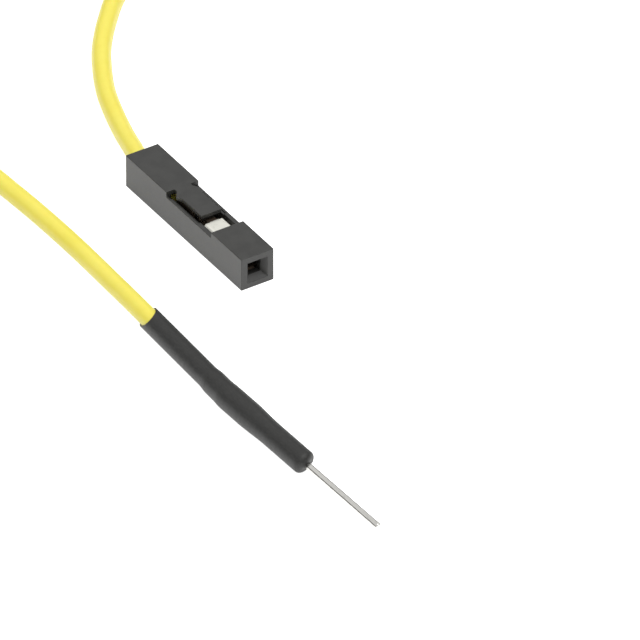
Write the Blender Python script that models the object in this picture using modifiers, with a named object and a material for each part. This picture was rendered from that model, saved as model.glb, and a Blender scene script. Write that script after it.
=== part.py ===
# Breadboard jumper wire: a crimped socket in a one-way housing at one end and, at the
# other, a soldered round pin under a heat-shrink sleeve.
#
# The housing lies on z = 0 with its mating face towards +X. The origin is the middle of
# its underside. The wire leaves the rear of the housing, goes round in one open loop and
# comes back beside it to the pin.

import math

import bmesh
import bpy
from mathutils import Matrix, Vector

MM = 0.001
WELD = 0.0005 * MM

# Wire: PVC insulation over seven tinned copper strands
WIRE_DIAMETER = 1.35 * MM
STRAND_DIAMETER = 0.20 * MM
STRAND_GAP = 0.012 * MM
STRAND_LAY = 12.0 * MM
STRIP_GAP = 0.02 * MM

# Socket terminal: one strip of tinned bronze, stamped and folded
SHEET = 0.18 * MM
CRIMP_FIT = 0.012 * MM
FOLD_RADIUS = 0.14 * MM
BOX_LENGTH = 4.00 * MM
TOP_PLATE_REACH = 0.55 * MM
SEAM_WALL_DROP = 0.30 * MM
LEAF_WIDTH = 0.70 * MM
LEAF_LIP = 0.04 * MM
LEAF_ROLL = 0.15 * MM
LEAF_LEAD_IN = 1.40 * MM
LEAF_TAIL = 1.10 * MM
CONTACT_GAP = 0.50 * MM
CONTACT_RADIUS = 0.80 * MM
STOP_TAB_SLOPE = 0.12 * MM
STOP_TAB_FLAT = 0.40 * MM
STOP_TAB_ANGLE = math.radians(50)
NECK_LENGTH = 1.90 * MM
NECK_WALL = 0.35 * MM
CORE_CRIMP_LENGTH = 2.00 * MM
CORE_CRIMP_CURL = 0.155 * MM
CORE_CRIMP_FLARE = 0.05 * MM
CORE_CRIMP_FLARE_LENGTH = 0.25 * MM
CORE_CRIMP_RAISE = 0.13 * MM
CRIMP_SPACING = 0.70 * MM
JACKET_CRIMP_LENGTH = 2.00 * MM
JACKET_PAST_CRIMP = 0.15 * MM
CORE_PAST_CRIMP = 0.30 * MM

# Housing: one black nylon moulding, one pitch of 2.54 mm wide
HOUSING_LENGTH = 14.30 * MM
SIDE_WALL = 0.348 * MM
FLOOR_WALL = 0.35 * MM
ROOF_WALL = 0.35 * MM
FRONT_WALL = 0.90 * MM
SEAT_GAP = 0.02 * MM
SIDE_PLAY = 0.055 * MM
HEAD_ROOM = 0.046 * MM
FRONT_PLAY = 0.05 * MM
PIN_HOLE = 0.95 * MM
MOUTH = 1.60 * MM
MOUTH_DEPTH = 0.45 * MM
REAR_CHAMFER = 0.12 * MM
EDGE_ROUND = 0.07 * MM
FRONT_BLOCK = 3.75 * MM
WALL_DROP = 0.40 * MM
LATCH_LENGTH = 3.56 * MM
LATCH_NECK_WIDTH = 1.28 * MM
LATCH_SHOULDER_WIDTH = 1.96 * MM
LATCH_WIDTH = 1.54 * MM
LATCH_SLIT = 0.10 * MM
LATCH_TIP_REACH = 0.28 * MM
NOTCH_LENGTH = 0.28 * MM
NOTCH_END_SLOPE = 0.48 * MM
SHOULDER_TAPER = 0.50 * MM
NOTCH_SIDE = 0.13 * MM
NOTCH_DEPTH = 0.40 * MM
NUB_WIDTH = 0.80 * MM
NUB_DEPTH = 0.44 * MM
NUB_LENGTH = 0.55 * MM
NUB_FLAT = 0.15 * MM
LATCH_GAP = 0.05 * MM

# Pin contact: turned brass, soldered to the strands by its cup
PIN_DIAMETER = 0.51 * MM
PIN_LENGTH = 8.82 * MM
PIN_CHAMFER = 0.09 * MM
CUP_DIAMETER = 1.60 * MM
CUP_LENGTH = 2.10 * MM
CUP_BORE_FIT = 0.012 * MM
CUP_DEPTH = 1.90 * MM
CUP_TAPER = 3.00 * MM
SHANK_DIAMETER = 1.42 * MM
SHANK_LENGTH = 3.60 * MM
WEEP_HOLE = 0.30 * MM
SOLDER_LENGTH = 2.40 * MM
SOLDER_WALL = 0.10 * MM
BARE_CORE = 3.10 * MM

# Heat-shrink sleeve
SLEEVE_WALL = 0.12 * MM
SLEEVE_FIT = 0.01 * MM
SLEEVE_REAR = 10.67 * MM
SLEEVE_SLANT = 1.10 * MM
SLEEVE_SLANT_TURN = math.radians(127)
SLEEVE_LIP = 0.55 * MM
SLEEVE_MOUTH_FIT = 0.05 * MM

# Where the pin end lies: the rear rim of the cup and the line of the pin
PIN_END_X = 17.97 * MM
PIN_END_Y = -9.09 * MM
PIN_END_HEADING = math.radians(1.34)
REST_GAP = 0.005 * MM
SLEEVE_KINK = 0.069
SLEEVE_SINK = 0.0110
KINK_BLEND = 0.60 * MM

# Sizes that follow from those above
TERMINAL_WIDTH = WIRE_DIAMETER + 2 * (CRIMP_FIT + SHEET)
CAVITY_WIDTH = TERMINAL_WIDTH + 2 * SIDE_PLAY
CAVITY_HEIGHT = SEAT_GAP + TERMINAL_WIDTH + HEAD_ROOM
HOUSING_WIDTH = CAVITY_WIDTH + 2 * SIDE_WALL
CAVITY_TOP = FLOOR_WALL + CAVITY_HEIGHT
HOUSING_HEIGHT = CAVITY_TOP + ROOF_WALL
AXIS_Z = FLOOR_WALL + SEAT_GAP + TERMINAL_WIDTH / 2
MID_HALF = (TERMINAL_WIDTH - SHEET) / 2
STRAND_PITCH = STRAND_DIAMETER + STRAND_GAP
CORE_RADIUS = STRAND_PITCH + STRAND_DIAMETER / 2

HOUSING_FRONT_X = HOUSING_LENGTH / 2
HOUSING_REAR_X = -HOUSING_LENGTH / 2
CAVITY_END_X = HOUSING_FRONT_X - FRONT_WALL
BOX_FRONT_X = CAVITY_END_X - FRONT_PLAY - LEAF_ROLL - SHEET / 2 - LEAF_LIP
SHOULDER_X = BOX_FRONT_X - BOX_LENGTH
CORE_CRIMP_FRONT_X = SHOULDER_X - NECK_LENGTH
CORE_CRIMP_REAR_X = CORE_CRIMP_FRONT_X - CORE_CRIMP_LENGTH
JACKET_CRIMP_FRONT_X = CORE_CRIMP_REAR_X - CRIMP_SPACING
JACKET_CRIMP_REAR_X = JACKET_CRIMP_FRONT_X - JACKET_CRIMP_LENGTH
JACKET_END_X = JACKET_CRIMP_FRONT_X + JACKET_PAST_CRIMP
CORE_END_X = CORE_CRIMP_FRONT_X + CORE_PAST_CRIMP

STOP_TAB_LENGTH = (2 * FOLD_RADIUS * math.sin(STOP_TAB_ANGLE)
                   + STOP_TAB_SLOPE * math.cos(STOP_TAB_ANGLE) + STOP_TAB_FLAT)
NUB_FRONT_X = SHOULDER_X - STOP_TAB_LENGTH - LATCH_GAP
NUB_BOTTOM = CAVITY_TOP - NUB_DEPTH
LATCH_TIP_X = NUB_FRONT_X + LATCH_TIP_REACH
LATCH_ROOT_X = LATCH_TIP_X - LATCH_LENGTH
LATCH_UNDERSIDE = HOUSING_HEIGHT - WALL_DROP + LATCH_SLIT
NOTCH_END_X = LATCH_ROOT_X + NOTCH_LENGTH
LATCH_SHOULDER_X = NOTCH_END_X + NOTCH_END_SLOPE
WINDOW_FRONT_X = HOUSING_FRONT_X - FRONT_BLOCK

CUP_BORE_RADIUS = CORE_RADIUS + CUP_BORE_FIT
SHANK_START = CUP_LENGTH + CUP_TAPER
SHANK_END = SHANK_START + SHANK_LENGTH
SLEEVE_OVER_CUP = CUP_DIAMETER / 2 + SLEEVE_FIT
SLEEVE_OVER_SHANK = SHANK_DIAMETER / 2 + SLEEVE_FIT
SLEEVE_OVER_WIRE = WIRE_DIAMETER / 2 + SLEEVE_FIT
PIN_END_Z = SLEEVE_OVER_CUP + SLEEVE_WALL + REST_GAP
WIRE_Z = WIRE_DIAMETER / 2 + REST_GAP

# Route of the wire, in mm, from where it leaves the housing to where it enters the sleeve:
# (x, y, height over its place on the ground)
EXIT_SHIFT = 0.12 * MM
EXIT_DROP = 0.01 * MM
ROUTE = [
    (-9.91, 0.84, 0.28), (-11.42, 1.26, 0.14), (-13.91, 2.04, 0.05), (-16.24, 2.91, 0.01),
    (-18.37, 3.98, 0.0), (-20.42, 5.20, 0.0), (-22.15, 6.50, 0.0), (-23.59, 7.75, 0.0),
    (-24.85, 8.94, 0.0), (-27.70, 12.00, 0.0), (-31.20, 14.40, 0.0), (-35.40, 15.10, 0.0),
    (-39.65, 13.50, 0.0), (-42.75, 9.80, 0.0), (-44.15, 5.00, 0.0), (-43.65, -0.20, 0.0),
    (-41.25, -4.80, 0.0), (-37.30, -7.70, 0.0), (-32.60, -9.05, 0.0), (-27.00, -9.35, 0.0),
    (-21.00, -9.15, 0.0), (-15.50, -8.80, 0.0), (-10.82, -8.53, 0.0), (-6.43, -8.33, 0.0),
    (-1.92, -8.29, 0.0), (2.63, -8.41, 0.02),
]
WIRE_STEP = 2.7 * MM
CURVE_DIVISIONS = 24

COLOURS = {
    "black_nylon": ((0.030, 0.030, 0.028), 0.42, 0.0),
    "yellow_pvc": ((0.86, 0.74, 0.07), 0.38, 0.0),
    "tinned_bronze": ((0.82, 0.81, 0.76), 0.24, 1.0),
    "tinned_copper": ((0.80, 0.79, 0.75), 0.30, 1.0),
    "plated_brass": ((0.80, 0.80, 0.78), 0.18, 1.0),
    "solder": ((0.66, 0.67, 0.68), 0.30, 1.0),
    "shrink_tube": ((0.028, 0.028, 0.027), 0.48, 0.0),
}


def new_material(name):
    colour, roughness, metallic = COLOURS[name]
    material = bpy.data.materials.new(name)
    material.use_nodes = True
    shader = material.node_tree.nodes["Principled BSDF"]
    shader.inputs["Base Color"].default_value = (*colour, 1.0)
    shader.inputs["Roughness"].default_value = roughness
    shader.inputs["Metallic"].default_value = metallic
    return material


def link(data, name, collection, material=None):
    item = bpy.data.objects.new(name, data)
    collection.objects.link(item)
    if material is not None:
        item.data.materials.append(material)
    return item


def from_bmesh(bm, name, collection, material=None):
    mesh = bpy.data.meshes.new(name)
    bm.to_mesh(mesh)
    bm.free()
    return link(mesh, name, collection, material)


def block(name, low, high, collection, material=None):
    """Box between two corners."""
    bm = bmesh.new()
    bmesh.ops.create_cube(bm, size=1.0)
    low, high = Vector(low), Vector(high)
    size = high - low
    bmesh.ops.scale(bm, vec=size, verts=bm.verts)
    bmesh.ops.translate(bm, vec=(low + high) / 2, verts=bm.verts)
    return from_bmesh(bm, name, collection, material)


def evaluated_mesh(item):
    """Mesh of an object with its modifiers applied, welded, in its own coordinates."""
    bpy.context.view_layer.update()
    graph = bpy.context.evaluated_depsgraph_get()
    mesh = bpy.data.meshes.new_from_object(item.evaluated_get(graph))
    bm = bmesh.new()
    bm.from_mesh(mesh)
    bmesh.ops.remove_doubles(bm, verts=bm.verts, dist=1e-7)
    bmesh.ops.recalc_face_normals(bm, faces=bm.faces)
    bm.to_mesh(mesh)
    bm.free()
    return mesh


def made_mesh(item, collection, material=None):
    """Swap a curve or a modified object for its welded mesh."""
    name = item.name
    matrix = item.matrix_world.copy()
    mesh = evaluated_mesh(item)
    mesh.materials.clear()
    bpy.data.objects.remove(item)
    solid = link(mesh, name, collection, material)
    solid.matrix_world = matrix
    return solid


def plate(name, outline, low, high, collection, material=None, upright=False):
    """Flat outline extruded from low to high, along Z, or along Y when it stands upright."""
    curve = bpy.data.curves.new(name, "CURVE")
    curve.dimensions = "2D"
    curve.fill_mode = "BOTH"
    curve.extrude = (high - low) / 2
    spline = curve.splines.new("POLY")
    spline.points.add(len(outline) - 1)
    for point, (along, across) in zip(spline.points, outline):
        point.co = (along, across, 0.0, 1.0)
    spline.use_cyclic_u = True
    item = link(curve, name, collection)
    if upright:
        item.rotation_euler.x = math.pi / 2
        item.location.y = (low + high) / 2
    else:
        item.location.z = (low + high) / 2
    bpy.context.view_layer.update()
    return made_mesh(item, collection, material)


def turned(name, profile, steps, collection, material=None):
    """Closed profile of (distance along X, radius) points turned about the X axis."""
    bm = bmesh.new()
    verts = [bm.verts.new((radius, 0.0, along)) for along, radius in profile]
    for here, there in zip(verts, verts[1:]):
        bm.edges.new((here, there))
    if min(radius for _, radius in profile) > 0:
        bm.edges.new((verts[-1], verts[0]))
    item = from_bmesh(bm, name, collection)
    screw = item.modifiers.new("turn", "SCREW")
    screw.steps = steps
    screw.render_steps = steps
    screw.use_merge_vertices = True
    screw.merge_threshold = 1e-7
    item.rotation_euler.y = math.pi / 2
    bpy.context.view_layer.update()
    solid = made_mesh(item, collection, material)
    solid.data.transform(solid.matrix_world)
    solid.matrix_world = Matrix.Identity(4)
    return solid


def tube(name, points, diameter, collection, material):
    """Round wire along a list of points."""
    curve = bpy.data.curves.new(name, "CURVE")
    curve.dimensions = "3D"
    curve.bevel_depth = diameter / 2
    curve.bevel_resolution = 2
    curve.use_fill_caps = True
    spline = curve.splines.new("POLY")
    spline.points.add(len(points) - 1)
    for point, place in zip(spline.points, points):
        point.co = (*place, 1.0)
    item = link(curve, name, collection)
    return made_mesh(item, collection, material)


def cut(item, cutter, operation="DIFFERENCE"):
    cutter.hide_render = True
    cutter.display_type = "WIRE"
    boolean = item.modifiers.new(cutter.name, "BOOLEAN")
    boolean.operation = operation
    boolean.solver = "EXACT"
    boolean.object = cutter


def smooth(item, angle=35):
    item.data.shade_smooth()
    item.data.set_sharp_from_angle(angle=math.radians(angle))


def walk(path, distance):
    """Place after a distance along straights (0, length) and arcs (radius, angle)."""
    across, up, heading = 0.0, 0.0, 0.0
    for radius, amount in path:
        length = radius * abs(amount) if radius else amount
        step = min(distance, length)
        if radius:
            side = math.copysign(1.0, amount)
            turned_to = heading + side * step / radius
            across += side * radius * (math.sin(turned_to) - math.sin(heading))
            up += side * radius * (math.cos(heading) - math.cos(turned_to))
            heading = turned_to
        else:
            across += step * math.cos(heading)
            up += step * math.sin(heading)
        distance -= step
        if distance <= 0:
            break
    return across, up


def spread(start, end, count):
    """Evenly spaced values after start, up to and with end."""
    return [start + (end - start) * k / count for k in range(1, count + 1)]


def eased(share):
    """Share of a change that starts and ends gently."""
    return share * share * (3 - 2 * share)


# The terminal's blank is a grid: rows along the wire, columns across the strip. A column's
# value is its distance from the middle of the floor, and each row folds it by its section.
QUARTER = math.pi / 2
LONG = 100 * MM
FLOOR_FLAT = MID_HALF - FOLD_RADIUS
FOLD_ARC = FOLD_RADIUS * QUARTER
WALL_FLAT = 2 * MID_HALF - 2 * FOLD_RADIUS
WALL_START = FLOOR_FLAT + FOLD_ARC
ROOF_START = WALL_START + WALL_FLAT + FOLD_ARC
ROOF_MIDDLE = ROOF_START + FLOOR_FLAT
ROOF_END = ROOF_MIDDLE + TOP_PLATE_REACH
SEAM_WALL_END = WALL_START + WALL_FLAT + FOLD_RADIUS - SEAM_WALL_DROP

CORE_BARREL = CORE_RADIUS + CRIMP_FIT + SHEET / 2
CORE_WALL = CORE_RADIUS + CRIMP_FIT
CORE_CURL_START = CORE_BARREL * QUARTER + CORE_WALL
CORE_WING = CORE_CURL_START + CORE_CRIMP_CURL * math.pi
JACKET_BARREL = WIRE_DIAMETER / 2 + CRIMP_FIT + SHEET / 2

BOX_SECTION = [(0, FLOOR_FLAT), (FOLD_RADIUS, QUARTER), (0, WALL_FLAT), (FOLD_RADIUS, QUARTER),
               (0, LONG)]
SEAM_SECTION = [(0, FLOOR_FLAT), (FOLD_RADIUS, QUARTER), (0, LONG)]
JACKET_SECTION = [(JACKET_BARREL, math.pi)]


def core_section(flare):
    """B-shaped crimp: a round floor, two walls, and wings curled down to the strands."""
    barrel = CORE_BARREL + flare
    return [(barrel, QUARTER), (0, CORE_WALL), (CORE_CRIMP_CURL + flare / 2, math.pi), (0, LONG)]


def folded(section, distance):
    """Place of a column, as (y, height over the floor), for one kind of section."""
    if section == "box":
        path = SEAM_SECTION if distance > 0 else BOX_SECTION
    elif section == "jacket":
        path = JACKET_SECTION
    elif section == "flare":
        path = core_section(CORE_CRIMP_FLARE)
    else:
        path = core_section(0.0)
    across, up = walk(path, abs(distance))
    return (across if distance > 0 else -across), up


def floor_height(section):
    if section in ("core", "flare"):
        drop = CORE_CRIMP_FLARE if section == "flare" else 0.0
        return AXIS_Z - MID_HALF + CORE_CRIMP_RAISE + JACKET_BARREL - CORE_BARREL - drop
    return AXIS_Z - MID_HALF


def terminal_columns():
    """Distances from the floor's middle at which the blank is divided."""
    half = [0.0, LEAF_WIDTH / 4, LEAF_WIDTH / 2, FLOOR_FLAT]
    half += spread(FLOOR_FLAT, WALL_START, 3)
    half += spread(WALL_START, CORE_CURL_START, 1)
    half += spread(CORE_CURL_START, CORE_WING, 6)
    right = half + spread(CORE_WING, SEAM_WALL_END, 4)
    left = half + spread(CORE_WING, WALL_START + WALL_FLAT, 3)
    left += spread(WALL_START + WALL_FLAT, ROOF_START, 3)
    left += spread(ROOF_START, ROOF_MIDDLE - LEAF_WIDTH / 2, 1)
    left += spread(ROOF_MIDDLE - LEAF_WIDTH / 2, ROOF_MIDDLE + LEAF_WIDTH / 2, 4)
    left += spread(ROOF_MIDDLE + LEAF_WIDTH / 2, ROOF_END, 1)
    return [-value for value in reversed(left[1:])] + right


def terminal_rows():
    """Rows of the blank: (x, section, section it blends with, share of the second)."""
    core_rear, core_front = CORE_CRIMP_REAR_X, CORE_CRIMP_FRONT_X
    flare = CORE_CRIMP_FLARE_LENGTH
    neck = SHOULDER_X - core_front
    return [
        (JACKET_CRIMP_REAR_X, "jacket", "jacket", 0.0),
        (JACKET_CRIMP_FRONT_X, "jacket", "jacket", 0.0),
        (JACKET_CRIMP_FRONT_X + CRIMP_SPACING / 3, "jacket", "flare", 1 / 3),
        (core_rear - CRIMP_SPACING / 3, "jacket", "flare", 2 / 3),
        (core_rear, "flare", "flare", 0.0),
        (core_rear + flare, "core", "core", 0.0),
        (core_front - flare, "core", "core", 0.0),
        (core_front, "flare", "flare", 0.0),
        (core_front + neck / 4, "flare", "box", 0.5),
        (core_front + neck / 2, "box", "box", 0.0),
        (core_front + 3 * neck / 4, "box", "box", 0.0),
        (SHOULDER_X, "box", "box", 0.0),
        (BOX_FRONT_X, "box", "box", 0.0),
    ]


def terminal_limits():
    """How far the blank reaches to each side of its middle, between each row and the next."""
    strip = FLOOR_FLAT
    neck = WALL_START + NECK_WALL
    jacket = WALL_START + WALL_FLAT + FOLD_ARC
    return ([(jacket, jacket)] + [(strip, strip)] * 3 + [(CORE_WING, CORE_WING)] * 3
            + [(strip, strip), (neck, neck), (neck, neck), (neck + NECK_WALL, neck + NECK_WALL),
               (ROOF_END, SEAM_WALL_END)])


def leaf_path():
    """Side view of a contact leaf from the box's front edge: rolled in, then bowed."""
    reach = MID_HALF - CONTACT_GAP / 2 - SHEET / 2
    slope = math.asin((reach - 2 * LEAF_ROLL) / LEAF_LEAD_IN)
    path = [(0, LEAF_LIP), (LEAF_ROLL, math.pi - slope), (0, LEAF_LEAD_IN),
            (CONTACT_RADIUS, 2 * slope), (0, LEAF_TAIL)]
    roll_end = LEAF_LIP + LEAF_ROLL * (math.pi - slope)
    bow_start = roll_end + LEAF_LEAD_IN
    bow_end = bow_start + CONTACT_RADIUS * 2 * slope
    stops = [LEAF_LIP] + spread(LEAF_LIP, roll_end, 6) + [bow_start] + spread(bow_start, bow_end, 3)
    return path, stops + [bow_end + LEAF_TAIL]


def stop_tab_path():
    """Side view of the tab behind the top plate: bent down, then level."""
    path = [(FOLD_RADIUS, STOP_TAB_ANGLE), (0, STOP_TAB_SLOPE), (FOLD_RADIUS, -STOP_TAB_ANGLE),
            (0, STOP_TAB_FLAT)]
    arc = FOLD_RADIUS * STOP_TAB_ANGLE
    stops = spread(0.0, arc, 2) + [arc + STOP_TAB_SLOPE]
    stops += spread(stops[-1], stops[-1] + arc, 2)
    return path, stops + [stops[-1] + STOP_TAB_FLAT]


def add_strip(bm, edge, path, stops, forward, inward):
    """Continue a panel from a row of its vertices along a side view."""
    rows = [edge]
    starts = [vert.co.copy() for vert in edge]
    for stop in stops:
        along, into = walk(path, stop)
        shift = forward * along + inward * into
        rows.append([bm.verts.new(start + shift) for start in starts])
    for near, far in zip(rows, rows[1:]):
        for k in range(len(edge) - 1):
            bm.faces.new((near[k], near[k + 1], far[k + 1], far[k]))


def socket_terminal(collection, material):
    """Folded terminal: the middle surface of the sheet, thickened by Solidify."""
    bm = bmesh.new()
    columns, rows, limits = terminal_columns(), terminal_rows(), terminal_limits()
    tolerance = SHEET / 100
    verts = {}

    def vertex(r, c):
        if (r, c) not in verts:
            x, first, second, share = rows[r]
            y_first, z_first = folded(first, columns[c])
            y_second, z_second = folded(second, columns[c])
            floor = floor_height(first) * (1 - share) + floor_height(second) * share
            y = y_first * (1 - share) + y_second * share
            z = floor + z_first * (1 - share) + z_second * share
            verts[r, c] = bm.verts.new((x, y, z))
        return verts[r, c]

    for r, (left, right) in enumerate(limits):
        for c in range(len(columns) - 1):
            low, high = columns[c], columns[c + 1]
            if low >= -left - tolerance and high <= right + tolerance:
                bm.faces.new((vertex(r, c), vertex(r + 1, c), vertex(r + 1, c + 1), vertex(r, c + 1)))

    def edge_between(row, low, high):
        return [verts[row, c] for c, value in enumerate(columns)
                if low - tolerance <= value <= high + tolerance]

    forward, back = Vector((1, 0, 0)), Vector((-1, 0, 0))
    up, down = Vector((0, 0, 1)), Vector((0, 0, -1))
    floor_span = (-LEAF_WIDTH / 2, LEAF_WIDTH / 2)
    roof_span = (-ROOF_MIDDLE - LEAF_WIDTH / 2, -ROOF_MIDDLE + LEAF_WIDTH / 2)
    front_row, shoulder_row = len(rows) - 1, len(rows) - 2
    leaf, leaf_stops = leaf_path()
    tab, tab_stops = stop_tab_path()
    add_strip(bm, edge_between(front_row, *floor_span), leaf, leaf_stops, forward, up)
    add_strip(bm, edge_between(front_row, *roof_span), leaf, leaf_stops, forward, down)
    add_strip(bm, edge_between(shoulder_row, *roof_span), tab, tab_stops, back, down)
    bmesh.ops.recalc_face_normals(bm, faces=bm.faces)
    item = from_bmesh(bm, "socket_terminal", collection, material)
    thick = item.modifiers.new("sheet", "SOLIDIFY")
    thick.thickness = SHEET
    thick.offset = 0.0
    thick.use_even_offset = True
    smooth(item)
    return item


def housing(collection, cutters, material):
    """Crimp housing: a long box with a cavity, a funnel mouth and a latch tongue."""
    half = HOUSING_WIDTH / 2
    beyond = HOUSING_WIDTH
    item = block("housing", (HOUSING_REAR_X, -half, 0.0),
                 (HOUSING_FRONT_X, half, HOUSING_HEIGHT), collection, material)
    bevel = item.modifiers.new("moulded edges", "BEVEL")
    bevel.width = EDGE_ROUND
    bevel.segments = 2

    cavity_half, hole_half = CAVITY_WIDTH / 2, PIN_HOLE / 2
    cut(item, flared_block("cavity", (CAVITY_END_X, -cavity_half, FLOOR_WALL),
                           (HOUSING_REAR_X + REAR_CHAMFER, cavity_half, CAVITY_TOP),
                           REAR_CHAMFER, REAR_CHAMFER, cutters))
    cut(item, flared_block("pin hole", (CAVITY_END_X - FRONT_WALL, -hole_half, AXIS_Z - hole_half),
                           (HOUSING_FRONT_X - MOUTH_DEPTH, hole_half, AXIS_Z + hole_half),
                           (MOUTH - PIN_HOLE) / 2, MOUTH_DEPTH, cutters))
    neck, shoulder, tongue = LATCH_NECK_WIDTH / 2, LATCH_SHOULDER_WIDTH / 2, LATCH_WIDTH / 2
    ledge = HOUSING_HEIGHT - WALL_DROP
    side = [
        (LATCH_ROOT_X, neck), (NOTCH_END_X, neck), (LATCH_SHOULDER_X, shoulder),
        (LATCH_SHOULDER_X + SHOULDER_TAPER, tongue), (LATCH_TIP_X, tongue),
    ]
    around_latch = [(LATCH_ROOT_X, beyond)] + side
    around_latch += [(x, -y) for x, y in reversed(side)] + [(LATCH_ROOT_X, -beyond)]
    around_latch += [(WINDOW_FRONT_X, -beyond), (WINDOW_FRONT_X, beyond)]
    cut(item, plate("latch surround", around_latch, ledge, HOUSING_HEIGHT + beyond, cutters))
    cut(item, block("latch slit", (NOTCH_END_X - LATCH_SLIT, -shoulder - LATCH_SLIT, ledge - LATCH_SLIT),
                    (LATCH_TIP_X + LATCH_SLIT, shoulder + LATCH_SLIT, LATCH_UNDERSIDE), cutters))
    notch_side = half - NOTCH_SIDE
    for name, low, high in (("left notch", -notch_side, -neck), ("right notch", neck, notch_side)):
        cut(item, block(name, (LATCH_ROOT_X, low, ledge - NOTCH_DEPTH),
                        (NOTCH_END_X, high, HOUSING_HEIGHT + beyond), cutters))
    catch = [
        (NUB_FRONT_X, LATCH_UNDERSIDE + ROOF_WALL / 2), (NUB_FRONT_X, NUB_BOTTOM),
        (NUB_FRONT_X - NUB_FLAT, NUB_BOTTOM),
        (NUB_FRONT_X - NUB_LENGTH, LATCH_UNDERSIDE),
        (NUB_FRONT_X - NUB_LENGTH, LATCH_UNDERSIDE + ROOF_WALL / 2),
    ]
    cut(item, plate("latch nub", catch, -NUB_WIDTH / 2, NUB_WIDTH / 2, cutters, upright=True),
        "UNION")
    weld = item.modifiers.new("weld", "WELD")
    weld.merge_threshold = WELD
    return item


def flared_block(name, start, end, growth, depth, collection):
    """Square hole along X that widens from its end corner by growth over a depth, and beyond."""
    bm = bmesh.new()
    bmesh.ops.create_cube(bm, size=1.0)
    start, end = Vector(start), Vector(end)
    size = Vector((abs(end.x - start.x), end.y - start.y, end.z - start.z))
    bmesh.ops.scale(bm, vec=size, verts=bm.verts)
    bmesh.ops.translate(bm, vec=(start + end) / 2, verts=bm.verts)
    outward = math.copysign(1.0, end.x - start.x)
    mouth = max(bm.faces, key=lambda face: face.calc_center_median().x * outward)
    ring = bmesh.ops.extrude_face_region(bm, geom=[mouth])["geom"]
    bmesh.ops.delete(bm, geom=[mouth], context="FACES_ONLY")
    middle_z = (start.z + end.z) / 2
    for vert in (part for part in ring if isinstance(part, bmesh.types.BMVert)):
        vert.co.x += outward * 2 * depth
        vert.co.y += math.copysign(2 * growth, vert.co.y)
        vert.co.z += math.copysign(2 * growth, vert.co.z - middle_z)
    bmesh.ops.recalc_face_normals(bm, faces=bm.faces)
    return from_bmesh(bm, name, collection)


def pin_contact(collection, cutters, material):
    """Turned contact: solder cup, taper, shank and round pin, with a cross hole in the cup."""
    cup, shank, pin = CUP_DIAMETER / 2, SHANK_DIAMETER / 2, PIN_DIAMETER / 2
    tip = SHANK_END + PIN_LENGTH
    profile = [
        (tip, 0.0), (tip, pin - PIN_CHAMFER), (tip - PIN_CHAMFER, pin), (SHANK_END, pin),
        (SHANK_END, shank - PIN_CHAMFER), (SHANK_END - PIN_CHAMFER, shank), (SHANK_START, shank),
        (CUP_LENGTH, cup), (PIN_CHAMFER, cup), (0.0, cup - PIN_CHAMFER), (0.0, CUP_BORE_RADIUS),
        (CUP_DEPTH, CUP_BORE_RADIUS), (CUP_DEPTH + CUP_BORE_RADIUS / 2, 0.0),
    ]
    item = turned("pin_contact", profile, 24, collection, material)
    hole = turned("weep hole", [(CUP_DIAMETER, 0.0), (CUP_DIAMETER, WEEP_HOLE / 2),
                                (0.0, WEEP_HOLE / 2), (0.0, 0.0)], 12, cutters)
    hole.data.transform(Matrix.Rotation(-QUARTER, 4, "Y"))
    hole.data.transform(Matrix.Translation((CUP_DEPTH / 2, 0.0, 0.0)))
    cut(item, hole)
    smooth(item)
    return item


def sag(along):
    """Sideways and upward shift of the sleeve behind the cup, where the lead bends."""
    behind = max(0.0, -along)
    bent = behind * behind / (behind + KINK_BLEND)
    return bent * SLEEVE_KINK, -bent * SLEEVE_SINK


def bend_behind_cup(item):
    for vert in item.data.vertices:
        sideways, upward = sag(vert.co.x)
        vert.co.y += sideways
        vert.co.z += upward


def slant_rear(item):
    """Cut the sleeve's rear end on the slant, furthest forward on the upper outer side."""
    across, up = math.cos(SLEEVE_SLANT_TURN), math.sin(SLEEVE_SLANT_TURN)
    for vert in item.data.vertices:
        if vert.co.x < -SLEEVE_REAR + WELD:
            radius = math.hypot(vert.co.y, vert.co.z)
            vert.co.x += SLEEVE_SLANT * (vert.co.y * across + vert.co.z * up) / radius


def swell(start, end, radius_from, radius_to):
    """Four stations that lead gently from one radius to another."""
    return [(start + (end - start) * share, radius_from + (radius_to - radius_from) * eased(share))
            for share in spread(0.0, 1.0, 4)]


def rounded_lip(start, reach, radius_from, radius_to):
    """Quarter of an ellipse that closes the sleeve in on the pin."""
    return [(start + reach * math.sin(angle),
             radius_to + (radius_from - radius_to) * math.cos(angle))
            for angle in spread(0.0, QUARTER, 4)]


def shrink_sleeve(collection, material):
    """Heat-shrink tube drawn down over wire, solder joint, cup, shank and pin root."""
    mouth = PIN_DIAMETER / 2 + SLEEVE_MOUTH_FIT
    over_wire, over_cup, over_shank = SLEEVE_OVER_WIRE, SLEEVE_OVER_CUP, SLEEVE_OVER_SHANK
    lip_start = SHANK_END + SLEEVE_FIT
    inner = [(along, over_wire) for along in [-SLEEVE_REAR] + spread(-SLEEVE_REAR, -BARE_CORE, 5)]
    inner += swell(-BARE_CORE, 0.0, over_wire, over_cup)
    inner += [(CUP_LENGTH, over_cup)]
    inner += swell(CUP_LENGTH, SHANK_START, over_cup, over_shank)
    inner += [(lip_start, over_shank)]
    outer = [(along, radius + SLEEVE_WALL) for along, radius in inner]
    inner += rounded_lip(lip_start, SLEEVE_LIP, over_shank, mouth)
    outer += rounded_lip(lip_start, SLEEVE_LIP + SLEEVE_WALL, over_shank + SLEEVE_WALL, mouth)[:-1]
    item = turned("heat_shrink_sleeve", outer[::-1] + inner, 20, collection, material)
    slant_rear(item)
    bend_behind_cup(item)
    smooth(item)
    return item


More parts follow.
